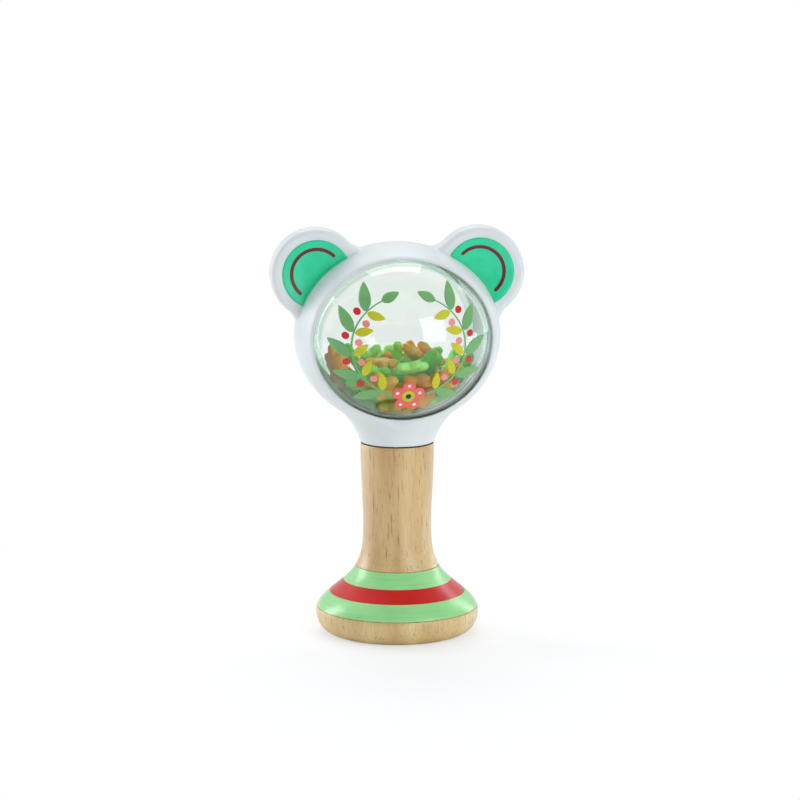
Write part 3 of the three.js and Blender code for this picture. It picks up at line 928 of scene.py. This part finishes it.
film_object("print_flower_heart", [disc(0, FLOWER_UP, HEART_RADIUS)], raised(1), yellow_green)
film_object("print_flower_dot", [disc(0, FLOWER_UP, HEART_DOT)], raised(2), dark)

# Stage: white floor that keeps the shadow, soft lamps, camera; its sizes are in metres
FLOOR_HALF = 6
WHITE_FROM = 0.06
WHITE_AT = 0.2


def set_values(node, **values):
    for key, value in values.items():
        node.inputs[key.replace("_", " ")].default_value = value


# 1 for the rays that show the stage, straight, mirrored or through clear plastic,
# and 0 for those that light the object
def seen_rays(tree):
    path = tree.nodes.new("ShaderNodeLightPath").outputs
    seen = value_of(tree, "MAXIMUM", path["Is Camera Ray"], path["Is Transmission Ray"])
    seen = value_of(tree, "MAXIMUM", seen, path["Is Glossy Ray"])
    direct = value_of(tree, "LESS_THAN", path["Diffuse Depth"], 0.5)
    return value_of(tree, "MULTIPLY", seen, direct)


# A share of 1, or of less in a reflection
def dimmed(tree, share):
    path = tree.nodes.new("ShaderNodeLightPath").outputs
    mirrored = value_of(tree, "GREATER_THAN", path["Is Glossy Ray"], path["Is Transmission Ray"])
    return value_of(tree, "SUBTRACT", 1.0, value_of(tree, "MULTIPLY", mirrored, 1.0 - share))


def spread(tree, source, start, end, low, high):
    node = tree.nodes.new("ShaderNodeMapRange")
    node.interpolation_type = "SMOOTHSTEP"
    set_values(node, From_Min=start, From_Max=end, To_Min=low, To_Max=high)
    tree.links.new(source, node.inputs["Value"])
    return node.outputs["Result"]


def mixed(tree, share, a, b):
    mix = tree.nodes.new("ShaderNodeMixShader")
    tree.links.new(share, mix.inputs["Fac"])
    tree.links.new(a, mix.inputs[1])
    tree.links.new(b, mix.inputs[2])
    return mix.outputs["Shader"]


floor_mesh = bpy.data.meshes.new("floor")
floor_corners = [(x * FLOOR_HALF, y * FLOOR_HALF, 0) for x, y in ((-1, -1), (1, -1), (1, 1), (-1, 1))]
floor_mesh.from_pydata(floor_corners, [], [(0, 1, 2, 3)])
floor = bpy.data.objects.new("floor", floor_mesh)
scene.collection.objects.link(floor)
floor_material = bpy.data.materials.new("white_floor")
floor_material.use_nodes = True
tree = floor_material.node_tree
paper = tree.nodes["Principled BSDF"]
set_values(paper, Base_Color=(0.88, 0.88, 0.88, 1), Roughness=0.7)
matt = tree.nodes.new("ShaderNodeBsdfDiffuse")
matt.inputs["Color"].default_value = (0.46, 0.47, 0.48, 1)
glow = tree.nodes.new("ShaderNodeEmission")
glow.inputs["Strength"].default_value = 0.54
near = tree.nodes.new("ShaderNodeAddShader")
tree.links.new(glow.outputs["Emission"], near.inputs[0])
tree.links.new(matt.outputs["BSDF"], near.inputs[1])
white_far = tree.nodes.new("ShaderNodeEmission")
place = tree.nodes.new("ShaderNodeTexCoord")
reach = tree.nodes.new("ShaderNodeVectorMath")
reach.operation = "LENGTH"
tree.links.new(place.outputs["Object"], reach.inputs[0])
far = spread(tree, reach.outputs["Value"], WHITE_FROM, WHITE_AT, 0.0, 1.0)
shown = mixed(tree, far, near.outputs["Shader"], white_far.outputs["Emission"])
share = value_of(tree, "MULTIPLY", seen_rays(tree), dimmed(tree, 0.0))
all_rays = mixed(tree, share, paper.outputs["BSDF"], shown)
tree.links.new(all_rays, tree.nodes["Material Output"].inputs["Surface"])
floor_mesh.materials.append(floor_material)

# The room is white behind the object and darker in front of it
world = bpy.data.worlds.new("studio")
scene.world = world
world.use_nodes = True
tree = world.node_tree
sky = tree.nodes["Background"]
set_values(sky, Color=(0.96, 0.985, 1.0, 1), Strength=0.6)
room = tree.nodes.new("ShaderNodeBackground")
direction = tree.nodes.new("ShaderNodeTexCoord")
parts = tree.nodes.new("ShaderNodeSeparateXYZ")
tree.links.new(direction.outputs["Generated"], parts.inputs["Vector"])
level = spread(tree, parts.outputs["Y"], -0.3, 0.5, 0.12, 1.0)
tree.links.new(value_of(tree, "MULTIPLY", level, dimmed(tree, 0.7)), room.inputs["Strength"])
all_rays = mixed(tree, seen_rays(tree), sky.outputs["Background"], room.outputs["Background"])
tree.links.new(all_rays, tree.nodes["World Output"].inputs["Surface"])


def lamp(name, place, aim, size, power, colour):
    light = bpy.data.lights.new(name, "AREA")
    light.shape = "RECTANGLE"
    light.size, light.size_y = size
    light.energy = power
    light.color = colour
    obj = bpy.data.objects.new(name, light)
    obj.location = place
    obj.rotation_euler = (Vector(aim) - Vector(place)).to_track_quat("-Z", "Y").to_euler()
    scene.collection.objects.link(obj)


head = (0, 0, 0.09)
lamp("rear_top_lamp", (0.0, 0.48, 0.85), head, (0.6, 0.6), 3.0, (1.0, 1.0, 1.0))
lamp("right_lamp", (0.58, -0.78, 0.36), head, (0.5, 0.6), 2.6, (1.0, 0.99, 0.97))
lamp("left_rear_lamp", (-0.78, 0.46, 0.36), head, (0.35, 0.65), 3.3, (0.98, 0.99, 1.0))
lamp("right_rear_lamp", (0.76, 0.48, 0.36), head, (0.25, 0.65), 1.3, (1.0, 0.99, 0.98))

eye = Vector((-0.1378, -1.0153, 0.2550))
aim = Vector((0.0012, 0.0016, 0.0798))
camera_data = bpy.data.cameras.new("camera")
camera_data.sensor_width = 36
camera_data.lens = 137.3
camera = bpy.data.objects.new("camera", camera_data)
camera.location = eye
camera.rotation_euler = (aim - eye).to_track_quat("-Z", "Y").to_euler()
scene.collection.objects.link(camera)
scene.camera = camera
